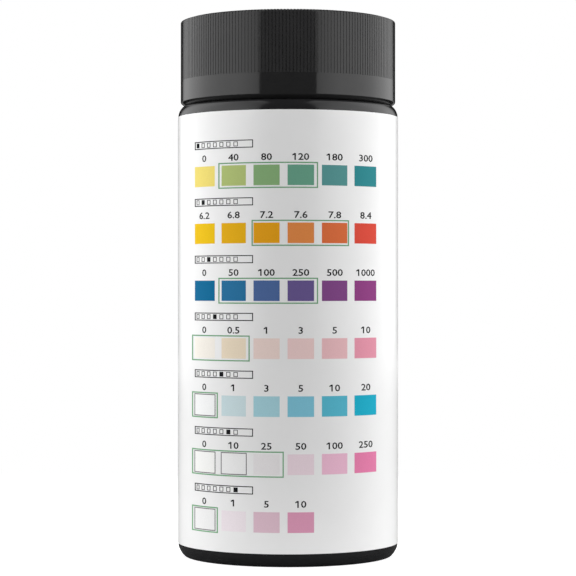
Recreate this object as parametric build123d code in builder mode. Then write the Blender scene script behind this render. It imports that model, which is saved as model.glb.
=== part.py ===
"""Screw-capped bottle of dip-and-read water test strips, in millimetres.

+Z runs up the bottle. The origin is the centre of the standing ring, and -Y is the
front of the label. The bottle is sized from what it holds: strips stand on its floor,
a desiccant stopper closes the mouth above them, and a ribbed screw cap covers both.
"""

import os
from math import atan2, cos, radians, sin, sqrt

from build123d import *

# ---------------------------------------------------------------- driving sizes
# Bottle
body_diameter = 49.8  # outside, under the label
body_wall = 1.2
floor_thickness = 1.4
pushup_height = 1.2  # how far the base panel stands above the table
ring_width = 2.8  # flat ring that the bottle stands on
pushup_slope = 1.4  # radial run of the wall round the base panel
heel_height = 2.1  # from the table to the corner where the side starts
heel_inset = 1.5  # body side to standing ring
heel_corner = 0.65  # leg of the 45 degree corner at the foot of the heel
heel_corner_radius = 0.6
heel_blend_radius = 2.6
shoulder_radius = 3.1
shoulder_blend_radius = 0.8
shoulder_blend_angle = 45.0  # where the large shoulder radius gives way to the small one
neck_step = 3.3  # body side to neck side
neck_height = 15.78
neck_wall = 1.4
lip_radius = 0.35

# Label
label_thickness = 0.1
label_seam_gap = 0.8
label_margin = 0.9  # from the top of the heel to the label's lower edge

# Test strips
strip_length = 100.0
strip_width = 5.0
backing_thickness = 0.3
pad_length = 5.0
pad_thickness = 0.35
pad_pitch = 7.5
pad_tip_margin = 1.0
strip_count = 50  # one is drawn out, the others stay behind
row_count = 3
row_gap = 0.8
row_fan_angle = 5.0
bottom_pitch = 0.95  # strip to strip on the floor
top_pitch = 1.08  # strip to strip at the top
lean_run = 5.0  # how far the rearmost strips lean back
wall_gap = 0.3
draw_gap = 1.2  # from the standing strips to the one drawn out

# Stopper with its desiccant
strip_headroom = 2.8
stopper_depth = 12.0
flange_thickness = 1.0
flange_inset = 0.2
plug_clearance = 0.03  # sealing bead to mouth
plug_relief = 0.3  # plug wall to mouth
plug_wall = 1.0
bead_radius = 0.45
bead_spacing = 4.0
rim_depth = 1.3  # plug below the porous disc
rim_bead = 0.35
disc_thickness = 0.8
fill_clearance = 0.05
lift_tab_width = 9.0
lift_tab_gap = 0.3  # tab to the cap's retaining bead

# Screw cap and liner
liner_thickness = 1.0
liner_inset = 0.4
thread_room = 1.35  # neck side to cap side, for the thread
cap_wall = 1.4
cap_top_thickness = 1.75
skirt_gap = 0.1  # cap to shoulder
cap_bevel_width = 1.35  # shallow bevel round the flat top
cap_bevel_height = 0.4
cap_bevel_blend = 2.0  # radius between the bevel and the flat top
cap_edge_facet = 0.25  # steep facet below the bevel, wider than the grooves' depth
skirt_chamfer_depth = 0.94  # across the skirt's wall, outside
skirt_chamfer_height = 0.7
skirt_lead_in = 0.3  # chamfer inside the skirt
smooth_band_height = 5.6
rib_count = 200
rib_groove_depth = 0.15
rib_groove_width = 0.25
retaining_bead = 0.5
retaining_bead_gap = 0.15

# ---------------------------------------------------------------- worked-out places
body_radius = body_diameter / 2
neck_radius = body_radius - neck_step
mouth_radius = neck_radius - neck_wall
cavity_radius = body_radius - body_wall
ring_outer = body_radius - heel_inset
ring_inner = ring_outer - ring_width
panel_radius = ring_inner - pushup_slope
floor_z = pushup_height + floor_thickness
strip_top = floor_z + strip_length
plug_bottom = strip_top + strip_headroom
lip_z = plug_bottom + stopper_depth
shoulder_z = lip_z - neck_height
blend = radians(shoulder_blend_angle)
shoulder_rise = shoulder_radius * sin(blend) + shoulder_blend_radius * (1 - sin(blend))
label_top = shoulder_z - shoulder_rise
label_bottom = heel_height + label_margin
flange_top = lip_z + flange_thickness
liner_top = flange_top + liner_thickness
cap_top = liner_top + cap_top_thickness
cap_bottom = shoulder_z + skirt_gap
cap_bore_radius = neck_radius + thread_room
cap_radius = cap_bore_radius + cap_wall
rib_bottom = cap_bottom + smooth_band_height

pad_names = ["carbonate", "ph", "hardness", "total_chlorine", "free_chlorine", "nitrate", "nitrite"]

os.makedirs("parts", exist_ok=True)


def write(builder, name):
    """Label one finished piece and write it as a STEP file."""
    builder.part.label = name
    export_step(builder.part, f"parts/{name}.step")


# ---------------------------------------------------------------- bottle
# One closed profile turned about the axis: the outside up to the lip, then the cavity
# back down. The shoulder is a large radius that tightens just under the cap.
with BuildPart() as bottle:
    with BuildSketch(Plane.XZ):
        with BuildLine():
            underside = Polyline(
                (0, pushup_height),
                (panel_radius, pushup_height),
                (ring_inner, 0),
                (ring_outer, 0),
            )
            heel = FilletPolyline(
                underside @ 1,
                (ring_outer + heel_corner, heel_corner),
                (body_radius, heel_height),
                (body_radius, label_top),
                radius=[heel_corner_radius, heel_blend_radius],
            )
            shoulder = JernArc(heel @ 1, (0, 1), shoulder_radius, shoulder_blend_angle)
            blend_arc = JernArc(shoulder @ 1, shoulder % 1, shoulder_blend_radius, 90 - shoulder_blend_angle)
            neck = FilletPolyline(
                (neck_radius, shoulder_z),
                (neck_radius, lip_z),
                (mouth_radius, lip_z),
                (mouth_radius, shoulder_z - body_wall),
                radius=lip_radius,
            )
            Line(blend_arc @ 1, neck @ 0)
            cavity_side = FilletPolyline(
                neck @ 1,
                (cavity_radius, shoulder_z - body_wall),
                (cavity_radius, heel_height),
                radius=shoulder_radius - body_wall,
            )
            Polyline(
                cavity_side @ 1,
                (cavity_radius - heel_inset, floor_thickness),
                (ring_inner, floor_thickness),
                (panel_radius, floor_z),
                (0, floor_z),
                (0, pushup_height),
            )
        make_face()
    revolve(axis=Axis.Z)
write(bottle, "bottle")

# ---------------------------------------------------------------- label
# A printed film round the whole straight side, with its butt seam at the back.
with BuildPart() as label:
    with BuildSketch(Plane.XY.offset(label_bottom)):
        Circle(body_radius + label_thickness)
        Circle(body_radius, mode=Mode.SUBTRACT)
        with Locations((0, body_radius)):
            Rectangle(label_seam_gap, 4 * label_thickness, mode=Mode.SUBTRACT)
    extrude(amount=label_top - label_bottom)
write(label, "label")

# ---------------------------------------------------------------- where the strips stand
# Each strip is drawn on a plane of its own: the origin on the bottle's floor, the plane's
# normal up the strip, and its pads on the front face. The sheaf of strips leans on the
# back of the neck in rows that fan apart, and spreads a little from floor to top.
row_pitch = strip_width + row_gap
half_sheaf = (row_count * row_pitch) / 2
sheaf_back = sqrt((mouth_radius - wall_gap) ** 2 - half_sheaf**2) - backing_thickness


def strip_plane(number):
    """The plane of one standing strip, counted from the back of the sheaf."""
    row = number % row_count - (row_count - 1) / 2
    place = number // row_count
    fan = radians(row * row_fan_angle)
    backward = Vector(-sin(fan), cos(fan), 0)
    across = Vector(cos(fan), sin(fan), 0)
    run = lean_run - place * (top_pitch - bottom_pitch)
    lean = atan2(run, strip_length)
    row_back = Vector(row * row_pitch, sheaf_back, 0)
    foot = row_back - backward * (lean_run + place * bottom_pitch)
    seat = floor_z + backing_thickness / 2 * sin(lean)
    along = backward * sin(lean) + Vector(0, 0, cos(lean))
    return Plane(origin=(foot.X, foot.Y, seat), x_dir=across, z_dir=along)


standing_planes = [strip_plane(number) for number in range(strip_count - 1)]
sheaf_front = min(plane.origin.Y for plane in standing_planes)
drawn_y = sheaf_front - backing_thickness / 2 - pad_thickness - draw_gap
drawn_plane = Plane(origin=(0, drawn_y, floor_z), x_dir=(1, 0, 0), z_dir=(0, 0, 1))


def make_strips(prefix, planes):
    """Write the backings on these planes, and one node for each kind of pad on them."""
    with BuildPart() as backing:
        with BuildSketch(*planes):
            Rectangle(strip_width, backing_thickness)
        extrude(amount=strip_length)
    write(backing, f"{prefix}_backing")
    for index, pad_name in enumerate(pad_names):
        pad_height = pad_tip_margin + index * pad_pitch
        with BuildPart() as pads:
            with BuildSketch(*[plane.offset(pad_height) for plane in planes]):
                with Locations((0, -(backing_thickness + pad_thickness) / 2)):
                    Rectangle(strip_width, pad_thickness)
            extrude(amount=pad_length)
        write(pads, f"{prefix}_{pad_name}_pad")


make_strips("stored_strips", standing_planes)
make_strips("drawn_strip", [drawn_plane])

# ---------------------------------------------------------------- stopper
# A soft plug with two sealing beads, a flange on the bottle's lip, a lifting tab, and a
# chamber for the desiccant that is open below and ends in a snap rim.
plug_radius = mouth_radius - plug_relief
chamber_radius = plug_radius - plug_wall
flange_radius = neck_radius - flange_inset
tab_radius = cap_bore_radius - retaining_bead - lift_tab_gap
chamber_top = lip_z
rim_top = plug_bottom + rim_depth
with BuildPart() as stopper:
    with BuildSketch(Plane.XZ):
        with BuildLine():
            Polyline(
                (0, flange_top),
                (flange_radius, flange_top),
                (flange_radius, lip_z),
                (plug_radius, lip_z),
                (plug_radius, plug_bottom + plug_wall),
                (plug_radius - plug_wall / 2, plug_bottom),
                (chamber_radius, plug_bottom),
                (chamber_radius - rim_bead, plug_bottom + rim_bead),
                (chamber_radius, rim_top),
                (chamber_radius, chamber_top),
                (0, chamber_top),
                close=True,
            )
        make_face()
        bead_centre = mouth_radius - plug_clearance - bead_radius
        with Locations((bead_centre, lip_z - bead_spacing), (bead_centre, lip_z - 2 * bead_spacing)):
            RegularPolygon(bead_radius, side_count=6, major_radius=False, rotation=30)
    revolve(axis=Axis.Z)
    with BuildSketch(Plane.XY.offset(lip_z)):
        Circle(tab_radius)
        with Locations((0, -tab_radius)):
            Rectangle(lift_tab_width, tab_radius, mode=Mode.INTERSECT)
    extrude(amount=flange_thickness)
    tab_corners = stopper.edges().filter_by(Axis.Z).sort_by(Axis.Y)[:2]
    fillet(tab_corners, radius=(tab_radius - flange_radius) / 2)
write(stopper, "stopper")

# ---------------------------------------------------------------- desiccant and porous disc
with BuildPart() as desiccant:
    with BuildSketch(Plane.XY.offset(rim_top + disc_thickness)):
        Circle(chamber_radius - fill_clearance)
    extrude(amount=chamber_top - rim_top - disc_thickness)
write(desiccant, "desiccant")

with BuildPart() as porous_disc:
    with BuildSketch(Plane.XY.offset(rim_top)):
        Circle(chamber_radius - fill_clearance)
    extrude(amount=disc_thickness)
write(porous_disc, "porous_disc")

# ---------------------------------------------------------------- cap liner
with BuildPart() as cap_liner:
    with BuildSketch(Plane.XY.offset(flange_top)):
        Circle(cap_bore_radius - liner_inset)
    extrude(amount=liner_thickness)
write(cap_liner, "cap_liner")

# ---------------------------------------------------------------- screw cap
# Turned shell with a bead inside that holds the liner, then the fine grip ribs: one
# V-shaped groove for each rib. The grooves run out on a steep facet at the top edge, and a
# shallow bevel leads from there to the flat top.
bead_top = flange_top - retaining_bead_gap
bevel_foot = cap_top - cap_bevel_height
facet_top = (cap_radius - cap_edge_facet, bevel_foot + cap_bevel_height * cap_edge_facet / cap_bevel_width)
with BuildPart() as cap_shell:
    with BuildSketch(Plane.XZ):
        with BuildLine():
            Polyline(
                (0, liner_top),
                (cap_bore_radius, liner_top),
                (cap_bore_radius, bead_top),
                (cap_bore_radius - retaining_bead, bead_top - retaining_bead / 2),
                (cap_bore_radius, bead_top - retaining_bead),
                (cap_bore_radius, cap_bottom + skirt_lead_in),
                (cap_bore_radius + skirt_lead_in, cap_bottom),
                (cap_radius - skirt_chamfer_depth, cap_bottom),
                (cap_radius, cap_bottom + skirt_chamfer_height),
                (cap_radius, bevel_foot - cap_edge_facet),
                facet_top,
            )
            bevel = FilletPolyline(
                facet_top, (cap_radius - cap_bevel_width, cap_top), (0, cap_top), radius=cap_bevel_blend
            )
            Line(bevel @ 1, (0, liner_top))
        make_face()
    revolve(axis=Axis.Z)
    with BuildSketch(Plane.XY.offset(rib_bottom)):
        with PolarLocations(cap_radius, rib_count):
            Polygon(
                (-rib_groove_depth, 0),
                (rib_groove_depth, -rib_groove_width),
                (rib_groove_depth, rib_groove_width),
                align=None,
            )
    extrude(amount=cap_top - rib_bottom, mode=Mode.SUBTRACT)
write(cap_shell, "cap_shell")
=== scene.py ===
# %% [markdown]
# # A bottle of water test strips
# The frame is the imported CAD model: a black bottle with a ribbed screw cap, a stopper, fifty
# strips and a wrap label. This lesson dresses it. Thin-walled turned pieces are remade with a
# finer mesh, the printed chart is laid on the label, and every piece gets the finish of its
# real material. Lengths are written in millimetres and turned to metres with MM. Only the
# studio at the end is laid out in metres.

# %% Load the frame
import math

import bmesh
import bpy
from mathutils import Matrix, Vector


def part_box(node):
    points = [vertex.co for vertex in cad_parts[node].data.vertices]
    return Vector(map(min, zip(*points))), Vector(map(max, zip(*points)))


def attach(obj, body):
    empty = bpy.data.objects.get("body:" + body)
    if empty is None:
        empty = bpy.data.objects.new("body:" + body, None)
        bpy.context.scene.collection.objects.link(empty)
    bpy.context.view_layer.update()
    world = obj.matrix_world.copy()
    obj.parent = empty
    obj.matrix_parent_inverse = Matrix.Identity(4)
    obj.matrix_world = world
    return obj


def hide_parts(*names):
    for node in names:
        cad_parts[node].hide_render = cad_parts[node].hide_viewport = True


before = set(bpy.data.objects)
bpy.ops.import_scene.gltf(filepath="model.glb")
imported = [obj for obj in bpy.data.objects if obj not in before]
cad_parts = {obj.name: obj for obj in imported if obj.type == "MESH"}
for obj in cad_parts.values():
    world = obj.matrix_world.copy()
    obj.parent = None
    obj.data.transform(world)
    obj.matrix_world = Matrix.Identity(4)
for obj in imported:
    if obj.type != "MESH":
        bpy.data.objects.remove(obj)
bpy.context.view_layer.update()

MM = 0.001

# %% [markdown]
# ## Sizes
# The frame says where each piece is, so the big sizes are read from it. Only what a box can't
# tell, such as a wall or a radius, is written here, with the same values as the CAD source.

# %% Sizes of the bottle and its closure
label_low, label_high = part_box("label")
bottle_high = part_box("bottle")[1]
cap_low, cap_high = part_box("cap_shell")
stopper_low, stopper_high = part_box("stopper")
liner_low, liner_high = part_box("cap_liner")

label_radius = 25.0
body_radius = 24.9
body_wall = 1.2
neck_radius = 21.6
mouth_radius = 20.2
cap_radius = 24.35
cap_bore = 22.95
skirt_gap = 0.1  # cap to shoulder
label_bottom = label_low.z / MM
label_top = label_high.z / MM
lip_z = bottle_high.z / MM
cap_bottom = cap_low.z / MM
cap_top = cap_high.z / MM
liner_bottom = liner_low.z / MM
liner_top = liner_high.z / MM
shoulder_z = cap_bottom - skirt_gap
print(f"label {label_bottom:.2f} to {label_top:.2f} mm, lip at {lip_z:.2f} mm")
print(f"cap {cap_bottom:.2f} to {cap_top:.2f} mm")

# %% [markdown]
# ## Camera
# The bottle is seen straight from the front with a long lens, from about half a metre away and
# at the height of its middle. A long lens keeps the sides nearly upright, and the small
# curves of the label's edges show how far away the camera is.

# %% Camera
camera_distance = 501.0
camera_height = 60.2
camera_tilt = 90.043  # degrees from looking straight down, so all but level
camera_data = bpy.data.cameras.new("camera")
camera_data.sensor_width = 36.0
camera_data.lens = 137.7
camera = bpy.data.objects.new("camera", camera_data)
camera.location = Vector((0.0, -camera_distance, camera_height)) * MM
camera.rotation_euler = (math.radians(camera_tilt), 0.0, 0.0)
bpy.context.scene.collection.objects.link(camera)
bpy.context.scene.camera = camera
print("camera", tuple(camera.location), "lens", camera_data.lens)

# %% [markdown]
# ## Helpers for materials
# Colours are picked as sRGB hex values, but a shader adds up light, so each is turned to
# linear first. One small function adds a node, and sets or links its sockets, which it finds
# by name, or by number where a node has several sockets of one name.

# %% Colour and node helpers
def to_linear(hex_colour):
    """An sRGB hex colour such as '#1a1a1b' as linear RGBA."""
    channels = [int(hex_colour[i:i + 2], 16) / 255 for i in (1, 3, 5)]
    linear = [c / 12.92 if c <= 0.04045 else ((c + 0.055) / 1.055) ** 2.4 for c in channels]
    return (*linear, 1.0)


def add_node(tree, kind, inputs=None, **settings):
    """Add a node, set its properties, and give its input sockets values or links."""
    node = tree.nodes.new(kind)
    for setting, value in settings.items():
        setattr(node, setting, value)
    for socket, value in (inputs or {}).items():
        if isinstance(value, bpy.types.NodeSocket):
            tree.links.new(value, node.inputs[socket])
        else:
            node.inputs[socket].default_value = value
    return node


def new_material(name):
    """An empty node material, and the node tree to build in."""
    material = bpy.data.materials.new(name)
    material.use_nodes = True
    material.node_tree.nodes.clear()
    return material, material.node_tree


def finish_material(material, shader):
    """Join the shader to the material's output."""
    tree = material.node_tree
    output = add_node(tree, "ShaderNodeOutputMaterial")
    tree.links.new(shader.outputs["BSDF"], output.inputs["Surface"])
    return material

# %% [markdown]
# ## Black plastics
# The bottle is blow-moulded high-density polyethylene: smooth, but with the faint orange peel
# that a blown wall takes. The cap is injection-moulded polypropylene from a polished mould, a
# little sharper in its reflections. Only its flat top comes from spark-eroded steel, which
# leaves a fine matt stipple that hides sink marks and scuffs. The ribs are the same moulding
# with a finish of their own: a little less glossy, and painted a little lighter, which is
# painted light for the light that their flanks catch. Both plastics are coloured right
# through with carbon black.

# %% Moulded black plastics
eroded_roughness = 0.6


def black_plastic(
        name, dark, light, gloss, roughness, peel_mm, peel_depth_mm, grain_mm, grain_depth_mm,
        matt_above_mm=None):
    """Carbon-black plastic: slight mottling, a wavy skin, and a fine moulded grain.

    Above the height matt_above_mm, if one is given, the mould was spark-eroded and the skin is
    matt.
    """
    material, tree = new_material(name)
    place = add_node(tree, "ShaderNodeTexCoord").outputs["Object"]
    mottle = add_node(
        tree, "ShaderNodeTexNoise", {"Vector": place, "Scale": 1 / (6.0 * MM), "Detail": 4.0})
    colour = add_node(
        tree, "ShaderNodeMix", {0: mottle.outputs["Fac"], 6: to_linear(dark), 7: to_linear(light)},
        data_type="RGBA")
    peel = add_node(
        tree, "ShaderNodeTexNoise", {"Vector": place, "Scale": 1 / (peel_mm * MM), "Detail": 1.0})
    grain = add_node(
        tree, "ShaderNodeTexNoise", {"Vector": place, "Scale": 1 / (grain_mm * MM), "Detail": 2.0})
    wavy = add_node(
        tree, "ShaderNodeBump", {"Height": peel.outputs["Fac"], "Distance": peel_depth_mm * MM})
    grainy = add_node(
        tree, "ShaderNodeBump",
        {"Height": grain.outputs["Fac"], "Distance": grain_depth_mm * MM,
         "Normal": wavy.outputs["Normal"]})
    shader = add_node(
        tree, "ShaderNodeBsdfPrincipled",
        {"Base Color": colour.outputs[2], "Roughness": roughness, "IOR": 1.5,
         "Specular IOR Level": gloss, "Normal": grainy.outputs["Normal"]})
    if matt_above_mm:
        height = add_node(tree, "ShaderNodeSeparateXYZ", {0: place}).outputs["Z"]
        eroded = add_node(
            tree, "ShaderNodeMath", {0: height, 1: matt_above_mm * MM}, operation="GREATER_THAN")
        matt = add_node(
            tree, "ShaderNodeMix", {0: eroded.outputs[0], 2: roughness, 3: eroded_roughness},
            data_type="FLOAT")
        tree.links.new(matt.outputs[0], shader.inputs["Roughness"])
    return finish_material(material, shader)


eroded_from = cap_top - 0.12  # just below the flat top
blown_polyethylene = black_plastic(
    "blow_moulded_black_polyethylene", "#1c1c1d", "#242425", gloss=0.305, roughness=0.14,
    peel_mm=5.0, peel_depth_mm=0.008, grain_mm=0.35, grain_depth_mm=0.002)
moulded_polypropylene = black_plastic(
    "injection_moulded_black_polypropylene", "#222223", "#2b2b2b", gloss=0.305, roughness=0.08,
    peel_mm=4.0, peel_depth_mm=0.003, grain_mm=0.3, grain_depth_mm=0.002,
    matt_above_mm=eroded_from)
# Painted light: the ribs are coloured lighter than the rest of the cap, to stand in for the light that
# their flanks catch.
rib_lit_polypropylene = black_plastic(
    "black_polypropylene_ribs_painted_light", "#2b2b2c", "#353535", gloss=0.235, roughness=0.1,
    peel_mm=4.0, peel_depth_mm=0.003, grain_mm=0.3, grain_depth_mm=0.003,
    matt_above_mm=eroded_from)

# %% [markdown]
# ## Label film and inks
# The label is white polypropylene film with a satin gloss. The inks are printed over it and dry
# matt, which keeps their colours deep where the film shines. Each printed patch keeps its own
# ink in a colour attribute of the mesh, and one material reads them all. A print is never quite
# even, so that material lets its cover vary a few parts in a hundred either side of full.

# %% Label film and printing inks
def label_surface(name, colour_of, gloss, roughness):
    """A surface of the label: its colour, a faint ripple in the film, and its gloss."""
    material, tree = new_material(name)
    place = add_node(tree, "ShaderNodeTexCoord").outputs["Object"]
    ripple = add_node(
        tree, "ShaderNodeTexNoise", {"Vector": place, "Scale": 1 / (2.5 * MM), "Detail": 2.0})
    bump = add_node(
        tree, "ShaderNodeBump", {"Height": ripple.outputs["Fac"], "Distance": 0.002 * MM})
    shader = add_node(
        tree, "ShaderNodeBsdfPrincipled",
        {"Base Color": colour_of(tree, place), "Roughness": roughness, "IOR": 1.5,
         "Specular IOR Level": gloss, "Normal": bump.outputs["Normal"]})
    return finish_material(material, shader)


def film_white(tree, place):
    """White film: a just visible unevenness in its white coat."""
    cloud = add_node(
        tree, "ShaderNodeTexNoise", {"Vector": place, "Scale": 1 / (9.0 * MM), "Detail": 3.0})
    coat = {0: cloud.outputs["Fac"], 6: to_linear("#e5e5e5"), 7: to_linear("#ebebeb")}
    return add_node(tree, "ShaderNodeMix", coat, data_type="RGBA").outputs[2]


def ink_colour(tree, place):
    """The ink stored in the mesh, with the slight mottle of a flexographic print."""
    ink = add_node(tree, "ShaderNodeAttribute", attribute_name="ink").outputs["Color"]
    speck = add_node(
        tree, "ShaderNodeTexNoise", {"Vector": place, "Scale": 1 / (0.25 * MM), "Detail": 2.0})
    cover = {0: speck.outputs["Fac"], 6: (0.96, 0.96, 0.96, 1.0), 7: (1.07, 1.07, 1.07, 1.0)}
    shade = add_node(tree, "ShaderNodeMix", cover, data_type="RGBA").outputs[2]
    printed = add_node(
        tree, "ShaderNodeMix", {0: 1.0, 6: ink, 7: shade}, data_type="RGBA", blend_type="MULTIPLY")
    return printed.outputs[2]


label_film = label_surface(
    "white_polypropylene_label_film", film_white, gloss=0.25, roughness=0.2)
printed_ink = label_surface(
    "flexographic_printing_ink", ink_colour, gloss=0.03, roughness=0.5)

# %% [markdown]
# ## Stopper, liner and board
# The stopper is natural low-density polyethylene, milky because light wanders inside it. The
# liner is white closed-cell foam, the disc that shuts the desiccant chamber is paperboard, and
# the desiccant is a bed of bonded beads.

# %% Soft closure materials
def milky_polyethylene():
    """Natural polyethylene: off-white, waxy and slightly see-through."""
    material, tree = new_material("natural_low_density_polyethylene")
    place = add_node(tree, "ShaderNodeTexCoord").outputs["Object"]
    cloud = add_node(
        tree, "ShaderNodeTexNoise", {"Vector": place, "Scale": 1 / (4.0 * MM), "Detail": 3.0})
    milk = {0: cloud.outputs["Fac"], 6: to_linear("#dad8ce"), 7: to_linear("#ebe9e2")}
    colour = add_node(tree, "ShaderNodeMix", milk, data_type="RGBA")
    skin = add_node(
        tree, "ShaderNodeTexNoise", {"Vector": place, "Scale": 1 / (0.4 * MM), "Detail": 2.0})
    bump = add_node(
        tree, "ShaderNodeBump", {"Height": skin.outputs["Fac"], "Distance": 0.006 * MM})
    shader = add_node(
        tree, "ShaderNodeBsdfPrincipled",
        {"Base Color": colour.outputs[2], "Roughness": 0.38, "IOR": 1.51,
         "Subsurface Weight": 0.25, "Subsurface Scale": 1.5 * MM,
         "Normal": bump.outputs["Normal"]})
    return finish_material(material, shader)


def fibrous(name, dark, light, fibre_mm, depth_mm, roughness):
    """Paper or board: pale, dull, with a felted surface of fine fibres."""
    material, tree = new_material(name)
    place = add_node(tree, "ShaderNodeTexCoord").outputs["Object"]
    fibre = add_node(
        tree, "ShaderNodeTexNoise",
        {"Vector": place, "Scale": 1 / (fibre_mm * MM), "Detail": 5.0, "Distortion": 1.2})
    felt = {0: fibre.outputs["Fac"], 6: to_linear(dark), 7: to_linear(light)}
    colour = add_node(tree, "ShaderNodeMix", felt, data_type="RGBA")
    bump = add_node(
        tree, "ShaderNodeBump", {"Height": fibre.outputs["Fac"], "Distance": depth_mm * MM})
    shader = add_node(
        tree, "ShaderNodeBsdfPrincipled",
        {"Base Color": colour.outputs[2], "Roughness": roughness, "IOR": 1.45,
         "Normal": bump.outputs["Normal"]})
    return finish_material(material, shader)


def celled(name, dark, light, cell_mm, depth_mm, roughness):
    """Foam or bonded beads: round cells side by side, with painted shade darkening each rim."""
    material, tree = new_material(name)
    place = add_node(tree, "ShaderNodeTexCoord").outputs["Object"]
    cell = add_node(
        tree, "ShaderNodeTexVoronoi", {"Vector": place, "Scale": 1 / (cell_mm * MM)})
    # Painted shade: a cell is lighter in its middle and darker at its rim, where shade falls between
    # cells.
    cell_rim_shade = {0: cell.outputs["Distance"], 6: to_linear(light), 7: to_linear(dark)}
    colour = add_node(tree, "ShaderNodeMix", cell_rim_shade, data_type="RGBA")
    bump = add_node(
        tree, "ShaderNodeBump", {"Height": cell.outputs["Distance"], "Distance": depth_mm * MM},
        invert=True)
    shader = add_node(
        tree, "ShaderNodeBsdfPrincipled",
        {"Base Color": colour.outputs[2], "Roughness": roughness, "IOR": 1.45,
         "Normal": bump.outputs["Normal"]})
    return finish_material(material, shader)


natural_polyethylene = milky_polyethylene()
paperboard = fibrous(
    "uncoated_paperboard", "#c6bfac", "#e2dccd", fibre_mm=0.5, depth_mm=0.04, roughness=0.9)
foam = celled(
    "white_closed_cell_foam", "#cfcfcb", "#e6e6e2", cell_mm=0.3, depth_mm=0.03, roughness=0.7)
sieve_beads = celled(
    "molecular_sieve_beads", "#6b5943", "#cdb692", cell_mm=1.6, depth_mm=0.4, roughness=0.85)

# %% [markdown]
# ## Strip materials
# A strip is white polyester film with seven pads of filter paper glued to it. Each pad is
# soaked in its own reagent, which dries a little darker in some places than in others.

# %% Strip film and reagent papers
def polyester_film():
    """White polyester: bright, stiff and shiny, with faint roller marks along the strip."""
    material, tree = new_material("white_polyester_strip_film")
    place = add_node(tree, "ShaderNodeTexCoord").outputs["Object"]
    along = add_node(tree, "ShaderNodeMapping", {"Vector": place, "Scale": (1.0, 1.0, 0.05)})
    marks = add_node(
        tree, "ShaderNodeTexNoise",
        {"Vector": along.outputs["Vector"], "Scale": 1 / (0.6 * MM), "Detail": 2.0})
    streaks = {0: marks.outputs["Fac"], 6: to_linear("#e0e0de"), 7: to_linear("#efefed")}
    colour = add_node(tree, "ShaderNodeMix", streaks, data_type="RGBA")
    bump = add_node(
        tree, "ShaderNodeBump", {"Height": marks.outputs["Fac"], "Distance": 0.004 * MM})
    shader = add_node(
        tree, "ShaderNodeBsdfPrincipled",
        {"Base Color": colour.outputs[2], "Roughness": 0.3, "IOR": 1.57,
         "Normal": bump.outputs["Normal"]})
    return finish_material(material, shader)


strip_film = polyester_film()
pad_colours = {
    "carbonate": ("#dcc257", "#ead773"),
    "ph": ("#dd8f22", "#e9a837"),
    "hardness": ("#1f5f88", "#2c7099"),
    "total_chlorine": ("#e6dfcf", "#efe9dc"),
    "free_chlorine": ("#dde4e2", "#e9eeec"),
    "nitrate": ("#e2e0dd", "#eceae7"),
    "nitrite": ("#e4dfe1", "#edeaea"),
}
pad_papers = {
    name: fibrous(
        f"{name}_reagent_paper", dark, light, fibre_mm=0.35, depth_mm=0.03, roughness=0.92)
    for name, (dark, light) in pad_colours.items()
}
print("materials made:", len(bpy.data.materials))

# %% [markdown]
# ## Turned pieces
# Bottles, caps and stoppers are turned shapes: an outline in the plane through the axis, swept
# once round. They could be cut from cylinders, but an outline keeps every wall and every
# round corner in one list. Each corner is (radius, height) in millimetres, with a third
# number where it is rounded, and the arcs are worked out from that.

# %% Outline and turning helpers
def outline(*corners):
    """Corners as 2-D points in millimetres, with an arc in place of each rounded corner."""
    points = []
    for index, corner in enumerate(corners):
        here = Vector(corner[:2])
        if len(corner) == 2:
            points.append(here)
            continue
        back = (Vector(corners[index - 1][:2]) - here).normalized()
        ahead = (Vector(corners[(index + 1) % len(corners)][:2]) - here).normalized()
        half = back.angle(ahead) / 2
        reach = corner[2] / math.tan(half)
        centre = here + (back + ahead).normalized() * corner[2] / math.sin(half)
        first = here + back * reach - centre
        last = here + ahead * reach - centre
        steps = math.ceil((math.pi - 2 * half) / math.radians(9 if corner[2] > 0.5 else 18))
        points += [
            centre + first.lerp(last, step / steps).normalized() * corner[2]
            for step in range(steps + 1)]
    return points


def draw_outline(mesh, points, closed):
    """Put an outline in the XZ plane of a bmesh, and return its vertices and edges."""
    corners = [mesh.verts.new((point.x * MM, 0.0, point.y * MM)) for point in points]
    sides = [mesh.edges.new(pair) for pair in zip(corners, corners[1:])]
    if closed:
        sides.append(mesh.edges.new((corners[-1], corners[0])))
    return corners + sides


def clean(mesh):
    """Merge doubled vertices, then point every face outwards."""
    bmesh.ops.remove_doubles(mesh, verts=mesh.verts, dist=1e-6)
    bmesh.ops.recalc_face_normals(mesh, faces=mesh.faces)
    return mesh


def turn(points, steps, closed=False):
    """Spin an outline once round the Z axis."""
    mesh = bmesh.new()
    bmesh.ops.spin(
        mesh, geom=draw_outline(mesh, points, closed), cent=(0, 0, 0), axis=(0, 0, 1),
        angle=2 * math.pi, steps=steps, use_merge=True)
    return clean(mesh)


def make_piece(name, mesh, material, body, replaces=(), crease=30.0):
    """Turn a bmesh into a piece that rides on a body, smooth except over sharp edges."""
    data = bpy.data.meshes.new(name)
    open_edges = sum(1 for edge in mesh.edges if not edge.is_manifold)
    volume = mesh.calc_volume(signed=True)
    mesh.to_mesh(data)
    mesh.free()
    data.shade_smooth()
    data.set_sharp_from_angle(angle=math.radians(crease))
    data.materials.append(material)
    piece = bpy.data.objects.new(name, data)
    bpy.context.scene.collection.objects.link(piece)
    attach(piece, body)
    if replaces:
        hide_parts(*replaces)
    triangles = sum(len(face.vertices) - 2 for face in data.polygons)
    print(
        f"{name}: {triangles} triangles, {open_edges} open edges, "
        f"{volume / MM**3:.1f} cubic mm, rides on {body}")

# %% [markdown]
# ## The bottle
# A blown bottle is one skin of even thickness: pushed-up base, standing ring, heel, straight
# side, rounded shoulder, neck and lip, and the same again inside. The shoulder starts as a
# large radius at the label's top edge and tightens where the cap hides it.

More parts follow.
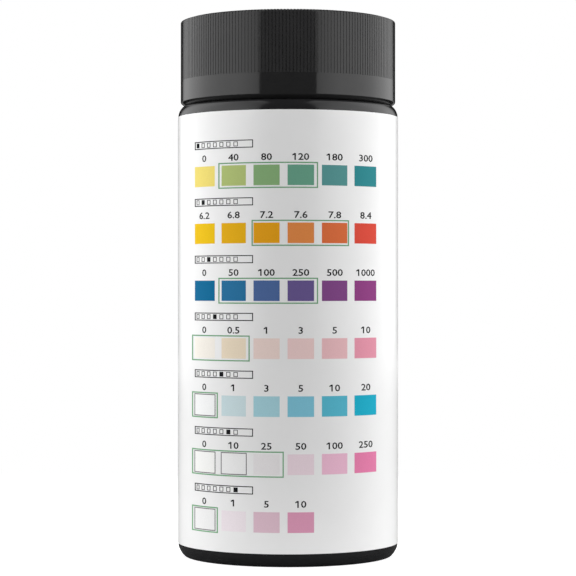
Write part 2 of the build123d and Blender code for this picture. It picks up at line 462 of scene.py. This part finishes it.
# %% Bottle
pushup_height = 1.2
floor_thickness = 1.4
floor_z = pushup_height + floor_thickness
shoulder_radius = 3.1
shoulder_blend = 0.8
corner_share = math.tan(math.radians(22.5))  # of its radius, that a 45 degree corner takes
shoulder_rise = shoulder_z - label_top - shoulder_radius * corner_share
bottle_outline = outline(
    # pushed-up base, standing ring and heel
    (0.0, pushup_height), (19.2, pushup_height, 1.0), (20.6, 0.0, 0.7), (23.4, 0.0, 0.6),
    (24.05, 0.65, 0.6), (body_radius, 2.1, 2.6),
    # shoulder, neck and lip
    (body_radius, label_top + shoulder_radius * corner_share, shoulder_radius),
    (body_radius - shoulder_rise, shoulder_z, shoulder_blend), (neck_radius, shoulder_z, 0.5),
    (neck_radius, lip_z, 0.35), (mouth_radius, lip_z, 0.35),
    # and back down inside
    (mouth_radius, shoulder_z - body_wall, 1.0),
    (body_radius - body_wall, shoulder_z - body_wall, 2.2),
    (body_radius - body_wall, floor_z, 1.6), (22.5, floor_thickness, 0.8),
    (20.5, floor_thickness, 0.8), (19.1, floor_z, 1.0), (9.0, floor_z), (0.0, floor_z))
make_piece(
    "bottle_shell", turn(bottle_outline, 256), blown_polyethylene, "bottle",
    ["bottle"])

# %% [markdown]
# ## The screw thread
# One rounded ridge climbs the neck and a matching ridge climbs inside the cap. The cap's is half
# a pitch lower, so that each lies midway between the other's turns. A ridge is its cross-section
# spun with a small rise at every step. Its ends sink to the wall, as moulded threads fade out.

# %% Threads
thread_lead = 25.4 / 6
thread_start = 107.4  # height at which the neck thread starts
steps_per_turn = 96
fade_turns = 0.09  # how much of a turn an end takes to rise from the wall
root_depth = 0.3  # how deep a ridge is rooted in its wall
skin_depth = 0.05  # a ridge's height is measured from this far under the wall's skin
least_height = 0.05  # share of its height that a faded end keeps


def thread(section, wall_radius, start_z, turns):
    """A right-handed ridge, from its (radius, height) section, whose ends fade into a wall."""
    mesh = bmesh.new()
    raised = [Vector((point.x, point.y + start_z)) for point in section]
    steps = round(turns * steps_per_turn)
    bmesh.ops.spin(
        mesh, geom=draw_outline(mesh, raised, True), cent=(0, 0, 0), axis=(0, 0, 1),
        dvec=(0, 0, thread_lead * MM / steps_per_turn), angle=turns * 2 * math.pi, steps=steps)
    bmesh.ops.holes_fill(mesh, edges=[edge for edge in mesh.edges if edge.is_boundary], sides=0)
    for vertex in mesh.verts:
        nominal = (vertex.co.z / MM - start_z) / thread_lead
        azimuth = math.atan2(vertex.co.y, vertex.co.x) / (2 * math.pi)
        done = azimuth + round(nominal - azimuth)
        fade = max(0.0, min(1.0, done / fade_turns, (turns - done) / fade_turns))
        radius = vertex.co.xy.length
        proud = radius - wall_radius * MM
        if abs(proud) > 1e-5 and (proud > 0) == (section[0].x > wall_radius):
            height = least_height + (1 - least_height) * fade
            vertex.co.xy *= (wall_radius * MM + proud * height) / radius
    return clean(mesh)


neck_crest, cap_crest = 22.65, 21.8
neck_root, cap_root = neck_radius - root_depth, cap_bore + root_depth
neck_section = outline(
    (neck_crest, 0.45, 0.25), (neck_root, 1.0), (neck_root, -1.0), (neck_crest, -0.45, 0.25))
cap_section = outline(
    (cap_crest, 0.4, 0.25), (cap_root, 0.9), (cap_root, -0.9), (cap_crest, -0.4, 0.25))
make_piece(
    "neck_thread", thread(neck_section, neck_radius - skin_depth, thread_start, turns=1.6),
    blown_polyethylene, "bottle", crease=50)
make_piece(
    "cap_thread",
    thread(cap_section, cap_bore + skin_depth, thread_start - thread_lead / 2, turns=1.5),
    moulded_polypropylene, "cap", crease=50)

# %% [markdown]
# ## The cap
# The cap is one moulding, but it is made here as two pieces that fit flush. The shell is
# turned like the bottle, with a shallow rebate round it for the grip. It has a bead inside
# that holds the liner, and the small sunk mark of the mould's gate in the middle of its top.

# %% Cap shell
smooth_band = 5.6
rib_bottom = cap_bottom + smooth_band
rebate = cap_radius - 0.4
bevel_width, bevel_height = 1.35, 0.4
bevel_foot = cap_top - bevel_height
bevel_inner = cap_radius - bevel_width
groove_end = bevel_inner - 1.0  # the grooves run out on the flat top here
gate_floor = cap_top - 0.25
liner_bead_z = 118.0
cap_outline = outline(
    # gate mark and flat top
    (0.0, cap_top - 0.05), (0.5, cap_top - 0.05, 0.1), (0.8, gate_floor, 0.1),
    (2.2, gate_floor, 0.2), (2.8, cap_top, 0.3), (12.0, cap_top), (groove_end, cap_top),
    # rebate for the grip, smooth band and chamfered lower rim
    (groove_end + 0.3, cap_top - 0.45), (rebate, cap_top - 0.9), (rebate, rib_bottom),
    (cap_radius, rib_bottom), (cap_radius, cap_bottom + 0.75, 0.5),
    (cap_radius - 0.94, cap_bottom, 0.1), (cap_bore + 0.3, cap_bottom),
    # bore, the bead that holds the liner, and the underside of the top
    (cap_bore, cap_bottom + 0.3, 0.15), (cap_bore, liner_bead_z - 0.25, 0.2),
    (cap_bore - 0.5, liner_bead_z, 0.25), (cap_bore, liner_bead_z + 0.25),
    (cap_bore, liner_top, 0.2), (12.0, liner_top), (0.0, liner_top))
make_piece(
    "cap_shell_turned", turn(cap_outline, 320), moulded_polypropylene, "cap",
    ["cap_shell"])

# %% [markdown]
# ## The grip
# Two hundred fine ribs round the cap give grip. They are flat bands with a narrow groove between
# each two. One rib is enough: its outline is spun in a few small steps, the points that lie in
# its groove are moved in, and the rib is repeated round the axis. A groove is cut square to the
# surface. It turns the top corner, deepening as it does, crosses the bevel, and fades out on the
# flat top.

# %% Grip ribs
rib_count = 200
rib_lines = 5  # groove lines at 2 and 3, the rib's edges at 1 and 4, its middle at 0 and 5
side_depth, rim_depth = 0.08, 0.16
side_share, rim_share = 0.13, 0.18  # half of the groove's width, as a share of the pitch
wall_share = 0.01  # the width of a groove's wall, as a share of the pitch
edge_radius = 0.35
edge_turn = math.radians(90) - math.atan2(bevel_height, bevel_width)
edge_centre = Vector((cap_radius - edge_radius, bevel_foot - edge_radius * math.tan(edge_turn / 2)))
rib_outline = outline(
    (cap_radius - 0.1, rib_bottom - 0.1), (cap_radius, rib_bottom),
    (cap_radius, bevel_foot, edge_radius), (bevel_inner, cap_top, 0.5), (groove_end, cap_top),
    (groove_end - 0.1, cap_top - 0.3), (rebate - 0.2, cap_top - 1.2),
    (rebate - 0.2, rib_bottom - 0.1))
pitch_angle = 2 * math.pi / rib_count
grip = bmesh.new()
bmesh.ops.spin(
    grip, geom=draw_outline(grip, rib_outline, True), cent=(0, 0, 0), axis=(0, 0, 1),
    angle=pitch_angle, steps=rib_lines)
for vertex in grip.verts:
    line = round(math.atan2(vertex.co.y, vertex.co.x) / pitch_angle * rib_lines)
    place = Vector((vertex.co.xy.length / MM, vertex.co.z / MM))
    on_side = place.x > cap_radius - 0.05
    on_top = place.y > edge_centre.y and place.x > groove_end - 0.05
    tilt = max(0.0, min(edge_turn, math.atan2(place.y - edge_centre.y, place.x - edge_centre.x)))
    along_edge = tilt / edge_turn if on_side or on_top else 0.0
    half = side_share + (rim_share - side_share) * along_edge
    whole = half + wall_share
    angle = (0.0, 0.5 - whole, 0.5 - half, 0.5 + half, 0.5 + whole, 1.0)[line] * pitch_angle
    reach = place.x
    if line in (2, 3) and (on_side or on_top) and place.x > groove_end + 0.05:
        depth = side_depth + (rim_depth - side_depth) * along_edge
        reach -= depth * math.cos(tilt)
        vertex.co.z -= depth * math.sin(tilt) * MM
    vertex.co.x = reach * math.cos(angle) * MM
    vertex.co.y = reach * math.sin(angle) * MM
print("faces in one rib:", len(grip.faces))
bmesh.ops.spin(
    grip, geom=grip.verts[:] + grip.edges[:] + grip.faces[:], cent=(0, 0, 0), axis=(0, 0, 1),
    angle=2 * math.pi, steps=rib_count, use_duplicate=True)
make_piece("cap_grip_ribs", clean(grip), rib_lit_polypropylene, "cap")

# %% [markdown]
# ## Stopper, disc and liner
# The stopper is a soft cup that plugs the mouth. Two rounded beads seal it, a flange rests on
# the lip, and a small tab at the front lets a fingernail lift it. Desiccant beads fill the
# cup, behind a board disc that snaps past the rim.

# %% Stopper with its tab
flange_radius = neck_radius - 0.2
plug_radius = mouth_radius - 0.3
chamber_radius = plug_radius - 1.0
bead_spacing = 4.0
rim_bead = 0.35  # the disc snaps past this
tab_half_width = 4.5
tab_reach = 0.75  # how far the tab stands out from the flange
plug_bottom = stopper_low.z / MM
flange_top = stopper_high.z / MM


def bead(height):
    """Outline corners of a sealing bead, from its top down. It all but touches the mouth."""
    proud = mouth_radius - 0.03
    return (
        (plug_radius, height + 0.5, 0.1), (proud, height + 0.2, 0.15),
        (proud, height - 0.2, 0.15), (plug_radius, height - 0.5, 0.1))


stopper_outline = outline(
    (0.0, flange_top), (flange_radius, flange_top, 0.2), (flange_radius, lip_z),
    (plug_radius, lip_z), *bead(lip_z - bead_spacing), *bead(lip_z - 2 * bead_spacing),
    (plug_radius, plug_bottom + 1.0, 0.6), (plug_radius - 0.5, plug_bottom, 0.15),
    (chamber_radius, plug_bottom, 0.1), (chamber_radius - rim_bead, plug_bottom + rim_bead, 0.15),
    (chamber_radius, plug_bottom + 1.3), (chamber_radius, lip_z), (0.0, lip_z))
stopper_mesh = turn(stopper_outline, 192)
rim_faces = []
for face in stopper_mesh.faces:
    middle = face.calc_center_median() / MM
    on_rim = middle.xy.length > flange_radius - 0.02
    if on_rim and middle.y < 0 and abs(middle.x) < tab_half_width:
        rim_faces.append(face)
pulled = bmesh.ops.extrude_face_region(stopper_mesh, geom=rim_faces)["geom"]
bmesh.ops.delete(stopper_mesh, geom=rim_faces, context="FACES")  # the extrusion leaves them inside
for vertex in [item for item in pulled if isinstance(item, bmesh.types.BMVert)]:
    vertex.co.xy *= (flange_radius + tab_reach) / flange_radius
make_piece(
    "stopper_cup", clean(stopper_mesh), natural_polyethylene, "stopper",
    ["stopper"])

# %% Board disc and foam liner
disc_low, disc_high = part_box("porous_disc")
disc_radius, disc_bottom, disc_top = disc_high.x / MM, disc_low.z / MM, disc_high.z / MM
disc_outline = outline(
    (0.0, disc_top), (disc_radius, disc_top, 0.12), (disc_radius, disc_bottom, 0.2),
    (0.0, disc_bottom))
make_piece(
    "board_disc", turn(disc_outline, 128), paperboard, "stopper",
    ["porous_disc"])
liner_radius = liner_high.x / MM
dent_radius = 21.1  # a shallow ring that the lip below presses into the foam
liner_outline = outline(
    (0.0, liner_top), (liner_radius, liner_top, 0.15), (liner_radius, liner_bottom, 0.3),
    (dent_radius + 0.2, liner_bottom, 0.2), (dent_radius, liner_bottom + 0.12, 0.1),
    (dent_radius - 0.2, liner_bottom, 0.2), (0.0, liner_bottom))
make_piece(
    "foam_liner", turn(liner_outline, 192), foam, "liner", ["cap_liner"])

# %% [markdown]
# ## The strip drawn from the bottle
# One strip stands in front of the others and slides out. It is a guillotined slip of film with
# seven squares of soft paper, so the film keeps sharp edges with small radiused corners, and
# each pad gets softer edges. Both start as a cube scaled to the CAD node, then bevelled.

# %% Drawn strip
def front_to_back(edge):
    """1 for an edge that runs from front to back, 0 for one that lies across or upright."""
    return abs((edge.verts[0].co - edge.verts[1].co).normalized().y)


def cut_sheet(node, corner_mm, edge_mm):
    """A flat cut piece the size of a CAD node, with rounded corners and eased edges."""
    low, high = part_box(node)
    mesh = bmesh.new()
    bmesh.ops.create_cube(mesh, size=1.0)
    bmesh.ops.scale(mesh, verts=mesh.verts, vec=high - low)
    bmesh.ops.translate(mesh, verts=mesh.verts, vec=(high + low) / 2)
    through = [edge for edge in mesh.edges if front_to_back(edge) > 0.9]
    bmesh.ops.bevel(
        mesh, geom=through, offset=corner_mm * MM, affect="EDGES", segments=4, profile=0.5,
        material=-1)
    rims = [edge for edge in mesh.edges if front_to_back(edge) < 0.1]
    bmesh.ops.bevel(
        mesh, geom=rims, offset=edge_mm * MM, affect="EDGES", segments=2, profile=0.5, material=-1)
    return clean(mesh)


make_piece(
    "drawn_strip_film", cut_sheet("drawn_strip_backing", corner_mm=0.25, edge_mm=0.03),
    strip_film, "drawn_strip", ["drawn_strip_backing"], crease=50)
for pad_name, pad_paper in pad_papers.items():
    pad_node = f"drawn_strip_{pad_name}_pad"
    make_piece(
        f"drawn_{pad_name}_paper", cut_sheet(pad_node, corner_mm=0.2, edge_mm=0.09),
        pad_paper, "drawn_strip", [pad_node], crease=50)

# %% [markdown]
# ## The strips left in the bottle
# The other forty-nine strips are flat slips whose CAD shape is already right, and so is the
# bed of desiccant. They stay as they are and only take their materials.

# %% Materials for the kept CAD nodes
kept_finishes = {"stored_strips_backing": strip_film, "desiccant": sieve_beads}
kept_finishes.update({f"stored_strips_{name}_pad": paper for name, paper in pad_papers.items()})
for node_name, finish in kept_finishes.items():
    for material_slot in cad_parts[node_name].material_slots:
        material_slot.material = finish
print("CAD nodes kept:", len(kept_finishes))

# %% [markdown]
# ## The label
# A wrap label is one strip of film round the bottle whose two ends nearly meet at the back.
# Spinning its cross-section by a little less than a full turn leaves that seam, and the two
# open ends are filled.

# %% Label film
film_outer = label_radius - 0.015  # leaves room for the inks
seam_gap = 0.8
seam = seam_gap / label_radius
film_mesh = bmesh.new()
film_section = outline(
    (body_radius, label_top), (film_outer, label_top, 0.02), (film_outer, label_bottom, 0.02),
    (body_radius, label_bottom))
bmesh.ops.spin(
    film_mesh, geom=draw_outline(film_mesh, film_section, True), cent=(0, 0, 0), axis=(0, 0, 1),
    angle=2 * math.pi - seam, steps=256)
film_ends = [edge for edge in film_mesh.edges if edge.is_boundary]
bmesh.ops.holes_fill(film_mesh, edges=film_ends, sides=0)
bmesh.ops.rotate(
    film_mesh, verts=film_mesh.verts, cent=(0, 0, 0),
    matrix=Matrix.Rotation(math.pi / 2 + seam / 2, 3, "Z"))
make_piece("label_film", clean(film_mesh), label_film, "bottle", ["label"])

# %% [markdown]
# ## The printed chart
# Seven rows of colour patches are read against the seven pads of a strip. The artwork is drawn
# flat, as a printer would, in millimetres across and up the label. Then it is given the
# thickness of a print and wrapped round the bottle. A patch starts as a grid, so that it has
# enough faces to follow the curve.

# %% Flat artwork and wrapping
ink_bed = film_outer - 0.004  # just inside the film, so that no gap shows
ink_proud = 0.014
longest_facet = 0.7  # of a patch, round the bottle
chart_middle = -0.95
column_pitch = 7.45
column_spread = 0.072
half_row = 2.5  # columns either side of the middle, in a row of six


def column_place(column):
    """Where a column stands across the label. Columns stand further apart towards the sides."""
    return chart_middle + column_pitch * column + column_spread * column**3


def stamp(art, left, right, bottom, top, hex_colour):
    """Add one flat printed rectangle to the artwork."""
    across = max(1, math.ceil((right - left) / longest_facet))
    middle = Vector(((left + right) / 2, (bottom + top) / 2, 0.0))
    place = Matrix.LocRotScale(middle, None, Vector((right - left, top - bottom, 1.0)))
    grid = bmesh.ops.create_grid(art, x_segments=across, y_segments=1, size=0.5, matrix=place)
    ink_layer = art.verts.layers.float_color["ink"]
    for vertex in grid["verts"]:
        vertex[ink_layer] = to_linear(hex_colour)


def stamp_frame(art, left, right, bottom, top, line, hex_colour):
    """Add a rectangular outline inside its four sides. Upright lines are wider round the side."""
    stamp(art, left, right, top - line, top, hex_colour)
    stamp(art, left, right, bottom, bottom + line, hex_colour)
    wide_left, wide_right = (line / math.cos(side / label_radius) for side in (left, right))
    stamp(art, left, left + wide_left, bottom + line, top - line, hex_colour)
    stamp(art, right - wide_right, right, bottom + line, top - line, hex_colour)


def new_art():
    """An empty sheet of artwork with a layer for its inks."""
    art = bmesh.new()
    art.verts.layers.float_color.new("ink")
    return art


def print_on_label(name, art):
    """Thicken the flat artwork, wrap it round the label, and make it a piece."""
    printed = bmesh.ops.extrude_face_region(art, geom=art.faces[:], use_keep_orig=True)
    raised = [item for item in printed["geom"] if isinstance(item, bmesh.types.BMVert)]
    bmesh.ops.translate(art, verts=raised, vec=(0, 0, ink_proud))
    for vertex in art.verts:
        across, up, proud = vertex.co
        turned = across / label_radius
        vertex.co = Vector((math.sin(turned), -math.cos(turned), 0.0)) * (ink_bed + proud) * MM
        vertex.co.z = up * MM
    bmesh.ops.recalc_face_normals(art, faces=art.faces)
    make_piece(name, art, printed_ink, "bottle")

# %% [markdown]
# ## Colour patches
# Each row runs through the colours that a pad takes as there is more of what it tests for. Very
# pale patches get a thin grey outline, and a green frame marks the range that is right for a
# pool. A row here holds its numbers, its inks, the first and last column in its frame, how far
# the frame stands off at its left and right, and how many of its patches have an outline.

# %% Chart rows
chart_rows = [
    ("0 40 80 120 180 300", "#ead773 #afbf77 #85ab78 #679e87 #569291 #30858c",
     (1, 3), (0.9, 0.9), 0),
    ("6.2 6.8 7.2 7.6 7.8 8.4", "#e8bd15 #e4ad19 #e19e1d #dc8749 #d76d40 #d54b3c",
     (2, 4), (0.45, 0.45), 0),
    ("0 50 100 250 500 1000", "#0b6793 #2a709d #4d6799 #66578c #7e4783 #8b3f7e",
     (1, 3), (0.9, 0.9), 0),
    ("0 0.5 1 3 5 10", "#ece7de #e5d6be #e5d0c9 #e4c7c5 #e1b5b9 #db90a3",
     (0, 1), (1.25, 0.9), 0),
    ("0 1 3 5 10 20", "#eaebeb #c4d7db #a0cad4 #7bbbcf #55b0c6 #1da4bf",
     (0, 0), (1.25, 0.9), 1),
    ("0 10 25 50 100 250", "#e8e8e6 #e4e4e4 #dedbdc #e0ced6 #e0b1c7 #d879a1",
     (0, 2), (1.25, 0.9), 2),
    ("0 1 5 10", "#e2e2e2 #e4dbe0 #d3b5c2 #d092ad",
     (0, 0), (1.25, 0.9), 1),
]
first_row_top = 87.25
row_pitch = 12.53
patch_height = 4.45
patch_half = 0.385  # half a patch, as a share of the column pitch
outline_line = 0.2  # an outline lies just outside its patch
frame_line = 0.27
frame_gap = 0.6  # from a patch to its frame, above and below
frame_green = "#6ea078"
outline_grey = "#6c6a6c"
text_grey = "#1a1a1c"

patches = new_art()
frames = new_art()
for row, (values, inks, good, (left_gap, right_gap), outlined) in enumerate(chart_rows):
    top = first_row_top - row * row_pitch
    bottom = top - patch_height
    sides = [
        (column_place(column - half_row - patch_half), column_place(column - half_row + patch_half))
        for column in range(len(values.split()))]
    for column, (ink, (left, right)) in enumerate(zip(inks.split(), sides)):
        stamp(patches, left, right, bottom, top, ink)
        if column < outlined:
            stamp_frame(
                frames, left - outline_line, right + outline_line, bottom - outline_line,
                top + outline_line, outline_line, outline_grey)
    first_good, last_good = good
    stamp_frame(
        frames, sides[first_good][0] - left_gap, sides[last_good][1] + right_gap,
        bottom - frame_gap, top + frame_gap, frame_line, frame_green)
print_on_label("chart_patches", patches)
print_on_label("chart_frames", frames)

# %% [markdown]
# ## Numbers over the patches
# The plain numbers come from Blender's own font. A text object is turned into a mesh before
# anything else is done to it, and then treated like the rest of the artwork. The font's strokes
# are thin for print this small, so the outlines of the flat figures are moved out a little, and
# those of their holes in. A figure 1 gets the small flag that printed figures have.

# %% Chart numbers
digit_height = 1.5
digit_width = 1.2  # the digits are drawn this much wider than the font's own
digit_weight = 0.03  # how far an outline is moved out to make the strokes bolder
font_digit = 0.729  # height of the font's digits, as a share of its size
number_gap = 1.02  # from a patch up to the foot of its number
flag_outline = [(0.0, 1.0), (-0.36, 0.78), (-0.36, 0.62), (0.0, 0.74)]  # shares of a digit
flag_overlap = 0.05  # how far the flag reaches into the stem of the 1
text_data = bpy.data.curves.new("chart_digits", "FONT")
text_data.align_x = "CENTER"
text_data.size = digit_height / font_digit
text_data.resolution_u = 2
text_object = bpy.data.objects.new("chart_digits", text_data)
bpy.context.scene.collection.objects.link(text_object)


def embolden(letters):
    """Move the outlines of flat letters out, and those of their holes in, by the same amount."""
    shifts = []
    for vertex in letters:
        sides = []
        for loop in [edge.link_loops[0] for edge in vertex.link_edges if edge.is_boundary]:
            along = (loop.link_loop_next.vert.co - loop.vert.co).normalized()
            sides.append(Vector((along.y, -along.x, 0.0)) * math.copysign(1.0, loop.face.normal.z))
        if len(sides) == 2:
            shifts.append((vertex, (sides[0] + sides[1]) / max(0.5, 1 + sides[0].dot(sides[1]))))
    for vertex, shift in shifts:
        vertex.co += shift * digit_weight


def stamp_number(art, words, column, baseline):
    """Add a number to the artwork, centred over a column and spread like the columns."""
    text_data.body = words
    depsgraph = bpy.context.evaluated_depsgraph_get()
    flat = bpy.data.meshes.new_from_object(text_object.evaluated_get(depsgraph))
    before = len(art.verts)
    art.from_mesh(flat)
    bpy.data.meshes.remove(flat)
    art.verts.ensure_lookup_table()
    embolden(art.verts[before:])
    if words.startswith("1"):
        stem = min(vertex.co.x for vertex in art.verts[before:]) + flag_overlap
        flag = [
            art.verts.new((stem + x * digit_width, y * digit_height, 0.0))
            for x, y in reversed(flag_outline)]
        art.faces.new(flag)
        art.verts.ensure_lookup_table()
    ink_layer = art.verts.layers.float_color["ink"]
    for vertex in art.verts[before:]:
        vertex.co.x = column_place(column + vertex.co.x * digit_width / column_pitch)
        vertex.co.y += baseline
        vertex[ink_layer] = to_linear(text_grey)


numbers = new_art()
for row, (values, *_) in enumerate(chart_rows):
    baseline = first_row_top - row * row_pitch + number_gap
    for column, value in enumerate(values.split()):
        stamp_number(numbers, value, column - half_row, baseline)
bmesh.ops.remove_doubles(numbers, verts=numbers.verts, dist=1e-5)
bpy.data.objects.remove(text_object)
print_on_label("chart_numbers", numbers)

# %% [markdown]
# ## A sign for each row
# Each row needs a heading that says which pad it belongs to. In place of words it has a small
# picture of a strip, with that row's pad filled in.

# %% Row signs
sign_left, sign_width, sign_height = -24.2, 16.5, 1.75
sign_gap = 3.75  # from a row's patches up to its sign
sign_pad = 1.05
sign_pad_pitch = 1.85
sign_margin = 0.75  # from its left end to its first pad
sign_line, sign_pad_line = 0.2, 0.14
signs = new_art()
for row in range(len(chart_rows)):
    base = first_row_top - row * row_pitch + sign_gap
    stamp_frame(
        signs, sign_left, sign_left + sign_width, base, base + sign_height, sign_line, text_grey)
    foot = base + (sign_height - sign_pad) / 2
    for pad in range(len(pad_colours)):
        left = sign_left + sign_margin + pad * sign_pad_pitch
        place = (left, left + sign_pad, foot, foot + sign_pad)
        if pad == row:
            stamp(signs, *place, text_grey)
        else:
            stamp_frame(signs, *place, sign_pad_line, text_grey)
print_on_label("chart_row_signs", signs)

# %% [markdown]
# ## Studio
# The bottle stands on white paper between two tall soft boxes, one on each side, which fade
# towards their front and rear ends and towards the top. Black cards in front, behind, above and
# at the boxes' backs keep its middle and its rims dark, so the gloss shows as two clear bands.
# The camera sees none of them. The backdrop is white where the camera, gloss or glass shows it,
# and lights the object only dimly. Reflections show the nearby paper darker than it is, which
# keeps the bottle's foot black.

# %% Backdrop and floor
scene = bpy.context.scene
scene.view_settings.view_transform = "Standard"
world = bpy.data.worlds.new("studio")
world.use_nodes = True
world.node_tree.nodes.clear()
scene.world = world


def seen_directly(tree):
    """1 for rays that show the backdrop: from the camera, off gloss or through glass."""
    path = add_node(tree, "ShaderNodeLightPath").outputs
    either = add_node(
        tree, "ShaderNodeMath", {0: path["Is Camera Ray"], 1: path["Is Glossy Ray"]},
        operation="MAXIMUM")
    any_of = {0: either.outputs[0], 1: path["Is Transmission Ray"]}
    return add_node(tree, "ShaderNodeMath", any_of, operation="MAXIMUM").outputs[0]


white = to_linear("#ffffff")
sky_fill = 0.32  # how strongly the sky lights the object
sky_tree = world.node_tree
dim_sky = add_node(sky_tree, "ShaderNodeBackground", {"Color": white, "Strength": sky_fill})
white_sky = add_node(sky_tree, "ShaderNodeBackground", {"Color": white, "Strength": 1.0})
sky = add_node(
    sky_tree, "ShaderNodeMixShader",
    {0: seen_directly(sky_tree), 1: dim_sky.outputs[0], 2: white_sky.outputs[0]})
add_node(sky_tree, "ShaderNodeOutputWorld", {"Surface": sky.outputs[0]})


def sheet(name, width, depth, matrix, material):
    """A flat stage sheet, in metres."""
    mesh = bmesh.new()
    stretch = Matrix.Diagonal((width, depth, 1, 1))
    bmesh.ops.create_grid(mesh, x_segments=1, y_segments=1, size=0.5, matrix=matrix @ stretch)
    data = bpy.data.meshes.new(name)
    mesh.to_mesh(data)
    mesh.free()
    data.materials.append(material)
    made = bpy.data.objects.new(name, data)
    scene.collection.objects.link(made)
    return made


near_white = 0.6  # the paper's own glow near the bottle, where its shadow has to show
paper, paper_tree = new_material("white_background_paper")
spot = add_node(paper_tree, "ShaderNodeTexCoord").outputs["Object"]
distance = add_node(
    paper_tree, "ShaderNodeVectorMath", {0: spot}, operation="LENGTH").outputs["Value"]
# In an oval a little behind the bottle, long from side to side, the paper keeps its shadow.
behind = add_node(
    paper_tree, "ShaderNodeVectorMath", {0: spot, 1: (0.0, -0.06, 0.0)}, operation="ADD")
oval = add_node(
    paper_tree, "ShaderNodeVectorMath", {0: behind.outputs[0], 1: (0.4, 3.6, 1.0)},
    operation="MULTIPLY")
oval_distance = add_node(
    paper_tree, "ShaderNodeVectorMath", {0: oval.outputs[0]}, operation="LENGTH")
far = add_node(
    paper_tree, "ShaderNodeMapRange",
    {"Value": oval_distance.outputs["Value"], "From Min": 0.12, "From Max": 0.6},
    interpolation_type="SMOOTHSTEP").outputs["Result"]
further = add_node(
    paper_tree, "ShaderNodeMapRange", {"Value": distance, "From Min": 0.6, "From Max": 1.6},
    interpolation_type="SMOOTHSTEP").outputs["Result"]
# The camera sees all of the paper glow. Gloss and glass see only paper further off glow.
seen = seen_directly(paper_tree)
paths = add_node(paper_tree, "ShaderNodeLightPath").outputs
far_reflected = add_node(
    paper_tree, "ShaderNodeMath", {0: seen, 1: further}, operation="MULTIPLY").outputs[0]
shown = add_node(
    paper_tree, "ShaderNodeMath", {0: paths["Is Camera Ray"], 1: far_reflected},
    operation="MAXIMUM").outputs[0]
near_strength = add_node(
    paper_tree, "ShaderNodeMath", {0: shown, 1: near_white}, operation="MULTIPLY").outputs[0]
near_glow = add_node(
    paper_tree, "ShaderNodeEmission", {"Color": white, "Strength": near_strength})
far_glow = add_node(paper_tree, "ShaderNodeEmission", {"Color": white, "Strength": shown})
paper_colour = add_node(
    paper_tree, "ShaderNodeMix",
    {0: paths["Is Glossy Ray"], 6: to_linear("#ececec"), 7: to_linear("#545454")},
    data_type="RGBA")
lit = add_node(paper_tree, "ShaderNodeBsdfDiffuse", {"Color": paper_colour.outputs[2]})
near_paper = add_node(
    paper_tree, "ShaderNodeAddShader", {0: lit.outputs[0], 1: near_glow.outputs[0]})
whole_paper = add_node(
    paper_tree, "ShaderNodeMixShader",
    {0: far, 1: near_paper.outputs[0], 2: far_glow.outputs[0]})
add_node(paper_tree, "ShaderNodeOutputMaterial", {"Surface": whole_paper.outputs[0]})
sheet("floor_paper", 8.0, 8.0, Matrix.Identity(4), paper)

# %% Soft boxes and black cards
box_distance, box_height = 0.6, 2.3
box_front, box_rear = -1.04, 1.15
box_length = box_rear - box_front
box_radiance = 2.45
box_falls = [  # axis, from, to, share of the strength at each
    ("Y", box_front, -0.4, 0.6, 1.0),
    ("Y", 0.2, box_rear, 1.0, 0.15),
    ("Z", 0.3, 1.2, 1.0, 0.55),
]
for side in (-1, 1):
    lamp_data = bpy.data.lights.new("soft_box", "AREA")
    lamp_data.shape = "RECTANGLE"
    lamp_data.size, lamp_data.size_y = box_height, box_length
    lamp_data.energy = box_radiance * math.pi * box_height * box_length
    lamp_data.use_nodes = True
    lamp_tree = lamp_data.node_tree
    place = add_node(lamp_tree, "ShaderNodeNewGeometry").outputs["Position"]
    parts = add_node(lamp_tree, "ShaderNodeSeparateXYZ", {"Vector": place}).outputs
    strength = 1.0
    for axis, start, end, first, last in box_falls:
        fall = add_node(lamp_tree, "ShaderNodeMapRange", {
            "Value": parts[axis], "From Min": start, "From Max": end, "To Min": first, "To Max": last})
        product = {0: fall.outputs["Result"], 1: strength}
        strength = add_node(lamp_tree, "ShaderNodeMath", product, operation="MULTIPLY").outputs[0]
    lamp_tree.links.new(strength, lamp_tree.nodes["Emission"].inputs["Strength"])
    lamp = bpy.data.objects.new("soft_box", lamp_data)
    lamp.location = (side * box_distance, (box_front + box_rear) / 2, box_height / 2 + 0.005)
    lamp.rotation_euler = (0.0, side * math.pi / 2, 0.0)
    lamp.visible_camera = False
    scene.collection.objects.link(lamp)

velvet, velvet_tree = new_material("black_velvet_card")
pile = add_node(velvet_tree, "ShaderNodeBsdfDiffuse", {"Color": to_linear("#070707")})
finish_material(velvet, pile)
card_front, card_rear, card_height = -1.04, 1.3, 2.4
end_card_width, top_card_width, card_length = 1.2, 1.3, 2.4
card_middle = (card_front + card_rear) / 2
side_card_distance = 0.62
upright = Matrix.Rotation(math.pi / 2, 4, "X")
sideways = Matrix.Rotation(math.pi / 2, 4, "Z") @ upright
cards = []
for name, y in (("front_card", card_front), ("rear_card", card_rear)):
    place = Matrix.Translation((0, y, card_height / 2)) @ upright
    cards.append(sheet(name, end_card_width, card_height, place, velvet))
place = Matrix.Translation((0, card_middle, card_height))
cards.append(sheet("top_card", top_card_width, card_length, place, velvet))
for side in (-1, 1):
    centre = (side * side_card_distance, card_middle, card_height / 2)
    place = Matrix.Translation(centre) @ sideways
    cards.append(sheet("side_card", card_length, card_height, place, velvet))
for card in cards:
    card.visible_camera = False
    card.visible_diffuse = False
    card.visible_transmission = False
    card.visible_shadow = False
print("stage: floor, soft boxes and", len(cards), "cards")
